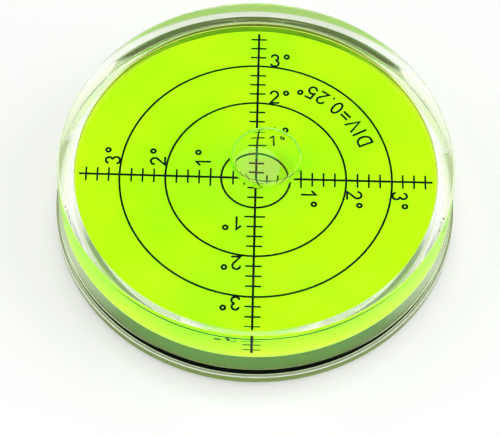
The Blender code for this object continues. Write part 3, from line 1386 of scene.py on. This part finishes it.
@dataclass(frozen=True)
class LiquidFill:
    """The liquid, with the bubble's hollow in it.

    Attributes:
        chamber: The room that it fills.
        film: Thickness of the liquid film between the bubble and the ceiling.
        inset: Distance between the liquid's own outer faces and the cap's.
        floor_gap: Height of its floor over the dial's face.
        skin_gap: Distance between the dyed body's hollow and the bubble's skin.
        segments: Faces round the axis.
        flat_slope: Slope up to which the bubble's underside is cut finely.
        flat_points: Points of the bubble's outline up to there.
        round_points: Points of its outline from there.
        lid_steps: Pieces of its flat top.
    """

    chamber: Chamber
    film: float = 0.03 * MM
    inset: float = 0.012 * MM
    floor_gap: float = 0.1 * MM
    skin_gap: float = 0.01 * MM
    segments: int = 256
    flat_slope: float = math.radians(10.0)
    flat_points: int = 10
    round_points: int = 90
    lid_steps: int = 6

    def build(self, finishes: list[bpy.types.Material]) -> bpy.types.Object:
        """Make the dyed body with a hollow, and the bubble's skin in the hollow.

        Args:
            finishes: Materials of the dyed body and of the bubble's skin.

        Returns:
            The liquid with the bubble in it.
        """
        room = self.chamber
        floor = room.envelope.dial_face + self.floor_gap
        spans = room.spans(floor, self.inset, Surface.OUTSIDE)
        body = [Span(span.points, -span.normals, span.surface) for span in spans]
        body = [Span(span.points[::-1], span.normals[::-1], span.surface) for span in body[::-1]]
        body.append(straight((room.bore_radius(floor) - self.inset, floor), (0.0, floor),
                             Surface.OUTSIDE, MIDDLING))
        liquid = turn("level_liquid_body", body, self.segments)
        hollow = self.build_bubble("bubble_hollow", self.skin_gap)
        skin = self.build_bubble("bubble_skin", 0.0)
        for piece, material in ((liquid, finishes[0]), (hollow, finishes[0]), (skin, finishes[1])):
            piece.data.materials.append(material)
        parts = [liquid, hollow, skin]
        with bpy.context.temp_override(active_object=liquid, object=liquid, selected_objects=parts,
                                       selected_editable_objects=parts):
            bpy.ops.object.join()
        dress(liquid, [], "level_liquid", "level_liquid", "air_bubble")
        return liquid

    def build_bubble(self, name: str, gap: float) -> bpy.types.Object:
        """Make one closed surface of the bubble, which faces the air inside.

        Args:
            name: Object name.
            gap: Distance outside the bubble's skin.

        Returns:
            The surface.
        """
        room = self.chamber
        place = (room.envelope.bubble_x, room.envelope.bubble_y)
        rows = BubbleForm(room.envelope.bubble_radius).outline()
        top = room.ceiling_height(math.hypot(*place)) - self.film
        slopes = np.concatenate([np.linspace(0.0, self.flat_slope, self.flat_points)[:-1],
                                 np.linspace(self.flat_slope, math.pi, self.round_points)])
        picked = np.stack([np.interp(slopes, rows[:, 2], rows[:, column]) for column in (0, 1)],
                          axis=1)
        picked[0] = (0.0, 0.0)
        picked[:, 1] += top - picked[-1, 1]
        inward = np.stack([-np.sin(slopes), np.cos(slopes)], axis=1)
        picked = picked - inward * gap
        picked[0, 0] = 0.0
        skin = Span(picked, inward, Surface.OUTSIDE)
        lid = straight(tuple(picked[-1]), (0.0, picked[-1, 1]), Surface.OUTSIDE,
                       self.lid_steps)
        return turn(name, [skin, lid], self.segments, place)


class Letter(Enum):
    """Strokes of each printed sign, as centre lines in units of the letter height.

    Every value is the width of the sign and its strokes.  A stroke is a list of parts: a
    part of two numbers is a point, and a part of six is a bend with the centre, the two
    radii, and the first and last angle in degrees.
    """

    ZERO = (0.60, [[(0.30, 0.5, 0.24, 0.44, 90.0, 450.0)]])
    ONE = (0.60, [[(0.12, 0.70), (0.36, 0.93), (0.36, 0.06)]])
    TWO = (0.60, [[(0.30, 0.69, 0.235, 0.25, 168.0, -38.0), (0.06, 0.06), (0.57, 0.06)]])
    THREE = (0.60, [[(0.29, 0.725, 0.21, 0.215, 160.0, -90.0),
                     (0.29, 0.285, 0.245, 0.225, 90.0, -160.0)]])
    FIVE = (0.60, [[(0.52, 0.94), (0.15, 0.94), (0.09, 0.50),
                    (0.29, 0.32, 0.245, 0.26, 130.0, -155.0)]])
    BIG_D = (0.74, [[(0.09, 0.06), (0.09, 0.94), (0.30, 0.5, 0.36, 0.44, 90.0, -90.0),
                     (0.09, 0.06)]])
    BIG_I = (0.20, [[(0.10, 0.06), (0.10, 0.94)]])
    BIG_V = (0.74, [[(0.05, 0.94), (0.37, 0.06), (0.69, 0.94)]])
    EQUALS = (0.60, [[(0.06, 0.64), (0.56, 0.64)], [(0.06, 0.36), (0.56, 0.36)]])
    POINT = (0.20, [[(0.10, 0.06), (0.10, 0.08)]])
    DEGREE = (0.36, [[(0.18, 0.81, 0.135, 0.14, 90.0, 450.0)]])

    @property
    def width(self) -> float:
        """Width of the sign."""
        return self.value[0]

    def lines(self) -> list[FloatArray]:
        """Centre lines as arrays of points.

        Returns:
            One array for each stroke.
        """
        found = []
        for stroke in self.value[1]:
            rows = []
            for part in stroke:
                if len(part) == 2:
                    rows.append(np.array([part]))
                    continue
                x, y, wide, high, start, end = part
                count = max(FEWEST, int(abs(end - start) / BEND_STEP))
                angle = np.radians(np.linspace(start, end, count + 1))
                rows.append(np.stack([x + wide * np.cos(angle), y + high * np.sin(angle)], axis=1))
            found.append(np.concatenate(rows))
        return found


@dataclass(frozen=True)
class Place:
    """Where a printed sign stands on the dial.

    Attributes:
        x: Across, of the left end of its base line.
        y: Along, of that end.
        turn: Turn of the base line in radians, counter-clockwise.
    """

    x: float
    y: float
    turn: float

    def apply(self, points: FloatArray) -> FloatArray:
        """Turn points by the sign's turn and move them to its place.

        Args:
            points: Points in the sign's own frame.

        Returns:
            The points on the dial.
        """
        cosine, sine = math.cos(self.turn), math.sin(self.turn)
        spin = np.array([[cosine, sine], [-sine, cosine]])
        return points @ spin + np.array([self.x, self.y])


@dataclass(frozen=True)
class DialLettering:
    """Degree numbers on the four arms and the note between the outer rings.

    Attributes:
        envelope: Sizes from the frame.
        division: Distance between two ticks.
        height: Letter height.
        stroke: Line width.
        arms: Arms of the cross.
        degree_ticks: Ticks from one degree to the next.
        side: Distance from the arm to the numbers.
        degree_side: Distance from the arm to the degree signs.
        note_radius: Radius of the note's base line.
        note_start: Angle where the note begins, in degrees.
        note_end: Angle where the note ends.
        print_top: Height of the print over the dial.
        print_thickness: Thickness of the print.
    """

    envelope: Envelope
    division: float = 1.68 * MM
    height: float = 2.4 * MM
    stroke: float = 0.35 * MM
    arms: int = 4
    degree_ticks: int = 4
    side: float = 1.8 * MM
    degree_side: float = 3.86 * MM
    note_radius: float = 18.85 * MM
    note_start: float = 21.0
    note_end: float = 69.0
    print_top: float = 0.06 * MM
    print_thickness: float = 0.05 * MM

    def arm_places(self) -> list[tuple[Letter, Place]]:
        """Numbers on the clockwise side of each arm, their heads pointing outward.

        A number stands at (side, ticks out) in its arm's own frame, whose y axis is the arm.

        Returns:
            Each sign with its place.
        """
        found = []
        for arm in range(self.arms):
            turned = -arm * math.tau / self.arms
            own = Place(0.0, 0.0, turned)
            for degree, letter in enumerate((Letter.ONE, Letter.TWO, Letter.THREE), start=1):
                out = degree * self.degree_ticks * self.division
                for sign, across in ((letter, self.side), (Letter.DEGREE, self.degree_side)):
                    x, y = own.apply(np.array([[across, out]]))[0]
                    found.append((sign, Place(x, y, turned)))
        return found

    def note_places(self) -> list[tuple[Letter, Place]]:
        """Signs of the note, set along a circle with their heads towards the centre.

        The space left over by the signs' own widths is shared out evenly between them.

        Returns:
            Each sign with its place.
        """
        signs = [Letter.BIG_D, Letter.BIG_I, Letter.BIG_V, Letter.EQUALS, Letter.ZERO,
                 Letter.POINT, Letter.TWO, Letter.FIVE, Letter.DEGREE]
        widths = np.array([sign.width for sign in signs]) * self.height
        middle = self.note_radius - self.height / 2
        length = math.radians(self.note_end - self.note_start) * middle
        space = (length - widths.sum()) / (len(signs) - 1)
        found, way = [], 0.0
        for sign, width in zip(signs, widths):
            angle = math.radians(self.note_start) + (way + width / 2) / middle
            turned = angle + math.pi / 2
            x = self.note_radius * math.cos(angle) - math.cos(turned) * width / 2
            y = self.note_radius * math.sin(angle) - math.sin(turned) * width / 2
            found.append((sign, Place(x, y, turned)))
            way += width + space
        return found

    def build(self, ink_and_shade: bpy.types.Material) -> bpy.types.Object:
        """Make all signs as one mesh of thin ribbons.

        Args:
            ink_and_shade: The print's material, which elsewhere also paints shade in the groove.

        Returns:
            The lettering.
        """
        top = self.envelope.dial_face + self.print_top
        vertices, corners, sizes, offset = [], [], [], 0
        for sign, place in self.arm_places() + self.note_places():
            for line in sign.lines():
                outline = ribbon(line * self.height, self.stroke / 2)
                points, faces, counts = plate(place.apply(outline), top, self.print_thickness)
                vertices.append(points)
                corners.append(faces + offset)
                sizes.append(counts)
                offset += len(points)
        sizes = np.concatenate(sizes)
        letters = mesh_object("dial_lettering", np.concatenate(vertices), np.concatenate(corners),
                              sizes, np.zeros(len(sizes), dtype=np.int64))
        letters.data.shade_flat()
        dress(letters, [ink_and_shade], "black_ink")
        return letters


def ribbon(line: FloatArray, half: float) -> FloatArray:
    """Flat outline of a line with round ends, as pairs of left and right points.

    At each point the side direction is the mean of its two neighbours' directions turned a
    quarter, made longer at a corner so that the width stays even.  Each end gets a half
    circle: pairs that lie half times cos(a) past the end and half times sin(a) to each side.

    Args:
        line: Points of the centre line.
        half: Half of the width.

    Returns:
        Array of shape (2 * pairs, 2): all left points, then all right points.
    """
    steps = np.diff(line, axis=0)
    steps /= np.linalg.norm(steps, axis=1)[:, None]
    before = np.concatenate([steps[:1], steps])
    after = np.concatenate([steps, steps[-1:]])
    closed = np.allclose(line[0], line[-1])
    if closed:
        before[0], after[-1] = steps[-1], steps[0]
    middle = before + after
    middle /= np.linalg.norm(middle, axis=1)[:, None]
    stretch = 1.0 / np.clip(np.sum(middle * after, axis=1), SHARPEST, 1.0)
    side = np.stack([-middle[:, 1], middle[:, 0]], axis=1) * (half * stretch)[:, None]
    left, right = line + side, line - side
    if not closed:
        angle = np.radians(np.arange(END_STEP, 90.0, END_STEP))[:, None]
        first_side = np.array([-steps[0][1], steps[0][0]])
        last_side = np.array([-steps[-1][1], steps[-1][0]])
        start = line[0] - steps[0] * half * np.cos(angle)
        finish = line[-1] + steps[-1] * half * np.cos(angle[::-1])
        left = np.concatenate([start + first_side * half * np.sin(angle), left,
                               finish + last_side * half * np.sin(angle[::-1])])
        right = np.concatenate([start - first_side * half * np.sin(angle), right,
                                finish - last_side * half * np.sin(angle[::-1])])
    return np.concatenate([left, right])


def plate(outline: FloatArray, top: float,
          thickness: float) -> tuple[FloatArray, NDArray[np.int64], NDArray[np.int64]]:
    """Thin plate between the left and right points of a ribbon.

    Args:
        outline: Left points, then right points.
        top: Height of its upper face.
        thickness: Its thickness.

    Returns:
        Vertices, face corners and face sizes of a closed mesh.
    """
    count = len(outline) // 2
    upper = np.column_stack([outline, np.full(len(outline), top)])
    lower = upper - np.array([0.0, 0.0, thickness])
    here = np.arange(count - 1)
    left, right, down = here, here + count, 2 * count
    faces = np.concatenate([
        np.stack([left, right, right + 1, left + 1], axis=1),
        np.stack([left + down, left + 1 + down, right + 1 + down, right + down], axis=1),
        np.stack([left, left + 1, left + 1 + down, left + down], axis=1),
        np.stack([right, right + down, right + 1 + down, right + 1], axis=1),
        np.array([[0, down, count + down, count],
                  [count - 1, 2 * count - 1, 2 * count - 1 + down, count - 1 + down]]),
    ])
    return np.concatenate([upper, lower]), faces.ravel(), np.full(len(faces), 4)


@dataclass(frozen=True)
class Floor:
    """Plain pale glossy floor that stays white where the camera looks at it.

    Attributes:
        reach: Half of its width.
        colour: Its colour.
        roughness: Its roughness.
        lift: Light that it adds where the camera sees it directly.
        lift_through: Light that it adds where it is seen through the clear pieces.
        gap: Air film between it and the level's underside.
    """

    reach: float = 1.5
    colour: Colour = (0.55, 0.56, 0.545)
    roughness: float = 0.3
    lift: float = 0.38
    lift_through: float = 0.62
    gap: float = 0.05 * MM

    def build(self) -> None:
        """Make the floor as one square face."""
        side, low = self.reach, -self.gap
        corners = np.array([[-side, -side, low], [side, -side, low], [side, side, low],
                            [-side, side, low]])
        floor = mesh_object("floor", corners, np.arange(4), np.array([4]), np.array([0]))
        material, tree = new_material("floor")
        shader = tree.nodes["Principled BSDF"]
        shader.inputs["Base Color"].default_value = (*self.colour, 1.0)
        shader.inputs["Roughness"].default_value = self.roughness
        path = tree.nodes.new("ShaderNodeLightPath")
        through = tree.nodes.new("ShaderNodeMath")
        through.operation = "MULTIPLY"
        through.inputs[1].default_value = self.lift_through
        tree.links.new(path.outputs["Is Transmission Ray"], through.inputs[0])
        lift = tree.nodes.new("ShaderNodeMath")
        lift.operation = "MULTIPLY_ADD"
        lift.inputs[1].default_value = self.lift
        tree.links.new(path.outputs["Is Camera Ray"], lift.inputs[0])
        tree.links.new(through.outputs["Value"], lift.inputs[2])
        tree.links.new(lift.outputs["Value"], shader.inputs["Emission Strength"])
        shader.inputs["Emission Color"].default_value = (1.0, 1.0, 1.0, 1.0)
        floor.data.materials.append(material)


@dataclass(frozen=True)
class SoftLamp:
    """Square soft lamp that faces the object.

    Attributes:
        name: Lamp name.
        azimuth: Direction round the object, in degrees from +Y towards +X.
        elevation: Degrees above the floor.
        distance: Distance from the object.
        size: Side of the square.
        brightness: Radiance of its face.
    """

    name: str
    azimuth: float
    elevation: float
    distance: float
    size: float
    brightness: float

    def build(self) -> None:
        """Make the lamp and aim it at the origin."""
        turned, risen = math.radians(self.azimuth), math.radians(self.elevation)
        way = Vector((math.sin(turned) * math.cos(risen), math.cos(turned) * math.cos(risen),
                      math.sin(risen)))
        light = bpy.data.lights.new(self.name, "AREA")
        light.shape = "SQUARE"
        light.size = self.size
        light.energy = self.brightness * math.pi * self.size ** 2
        lamp = bpy.data.objects.new(self.name, light)
        lamp.location = way * self.distance
        lamp.rotation_euler = way.to_track_quat("Z", "Y").to_euler()
        bpy.context.scene.collection.objects.link(lamp)


@dataclass(frozen=True)
class LampRig:
    """All lamps and the surrounding light.

    Attributes:
        lamps: The soft lamps.
        surround: Brightness of the surroundings.
    """

    lamps: tuple[SoftLamp, ...] = (
        SoftLamp("left_lamp", -90.0, 38.0, 1.0, 1.0, 1.3),
        SoftLamp("right_lamp", 90.0, 38.0, 1.0, 1.0, 2.2),
        SoftLamp("back_lamp", 0.0, 30.0, 1.0, 0.5, 1.5),
        SoftLamp("top_lamp", 0.0, 82.0, 1.0, 0.5, 5.0),
    )
    surround: float = 0.15

    def build(self) -> None:
        """Make the lamps, and a world that is white to the camera and through clear pieces."""
        for lamp in self.lamps:
            lamp.build()
        world = bpy.data.worlds.new("studio")
        world.use_nodes = True
        tree = world.node_tree
        background = tree.nodes["Background"]
        path = tree.nodes.new("ShaderNodeLightPath")
        seen = tree.nodes.new("ShaderNodeMath")
        seen.operation = "MAXIMUM"
        tree.links.new(path.outputs["Is Camera Ray"], seen.inputs[0])
        tree.links.new(path.outputs["Is Transmission Ray"], seen.inputs[1])
        level = tree.nodes.new("ShaderNodeMapRange")
        level.inputs["To Min"].default_value = self.surround
        level.inputs["To Max"].default_value = 1.0
        tree.links.new(seen.outputs["Value"], level.inputs["Value"])
        tree.links.new(level.outputs["Result"], background.inputs["Strength"])
        background.inputs["Color"].default_value = (1.0, 1.0, 1.0, 1.0)
        bpy.context.scene.world = world


@dataclass(frozen=True)
class PhotoCamera:
    """Camera at the photograph's viewing angle.

    Attributes:
        place: Where it stands.
        aim: Point that it looks at.
        roll: Turn about its own axis, in degrees.
        lens: Focal length in millimetres.
        sensor: Width of the sensor in millimetres.
        near: Distance from which it sees.
    """

    place: tuple[float, float, float] = (-1.40 * MM, -182.78 * MM, 295.40 * MM)
    aim: tuple[float, float, float] = (-0.71 * MM, -9.72 * MM, 12.4 * MM)
    roll: float = 1.736
    lens: float = 165.24
    sensor: float = 36.0
    near: float = 5.0 * MM

    def build(self) -> None:
        """Make the camera the scene's own."""
        way = Vector(self.aim) - Vector(self.place)
        turned = way.to_track_quat("-Z", "Y").to_matrix().to_4x4()
        rolled = turned @ Matrix.Rotation(math.radians(self.roll), 4, "Z")
        data = bpy.data.cameras.new("photo_camera")
        data.lens = self.lens
        data.sensor_width = self.sensor
        data.clip_start = self.near
        camera = bpy.data.objects.new("photo_camera", data)
        camera.matrix_world = Matrix.Translation(Vector(self.place)) @ rolled
        bpy.context.scene.collection.objects.link(camera)
        bpy.context.scene.camera = camera


def make_studio() -> None:
    """Make the floor, lamps, world and camera."""
    bpy.context.scene.view_settings.view_transform = "Standard"
    LampRig().build()
    PhotoCamera().build()
    Floor().build()


def main() -> None:
    """Build every sub-assembly in order and report it."""
    logging.basicConfig(level=logging.INFO, format="%(name)s: %(message)s")
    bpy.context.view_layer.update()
    envelope = Envelope.from_frame()
    chamber = Chamber(envelope)
    finishes = LevelFinishes()
    make_studio()

    faces = [finish.build() for finish in finishes.faces()]
    cap_faces = faces[:Surface.BONDED.value + 1]
    liquid_faces = [finishes.liquid.build(), finishes.bubble.build()]
    ink_and_shade, painted_glow = finishes.ink_and_shade.build(), finishes.painted_glow.build()
    rear_band_paint, thread = finishes.rear_band_paint.build(), finishes.thread.build()
    for piece in (
            ClearCap(chamber).build(cap_faces),
            ClearBase(chamber).build(faces),
            LiquidFill(chamber).build(liquid_faces),
            refinish("green_dial", finishes.dial.build()),
            refinish("dial_graduation", ink_and_shade),
            refinish("fill_stopper", finishes.stopper.build()),
            DialBacking(chamber).build(finishes.backing.build()),
            # Black sheet that paints the shade in the front of the groove.
            PaintedBand(chamber, "front_shade_band", -90.0, 84.0).build(ink_and_shade),
            # Green sheet that paints the light at the back of the groove.
            PaintedBand(chamber, "rear_green_band", 90.0, 50.0, thickness=0.65 * MM).build(rear_band_paint),
            # Olive thread that paints a line of shade.
            ShadeThread(chamber).build(thread),
            # Strips in the joint whose glow is painted light on the left and right rims.
            PaintedJointGlow(chamber, "left_rim_glow", 162.0).build(painted_glow),
            PaintedJointGlow(chamber, "right_rim_glow", 18.0).build(painted_glow),
            DialLettering(envelope).build(ink_and_shade)):
        LOG.info("%s: %d faces", piece.name, len(piece.data.polygons))


if __name__ == "__main__":
    main()
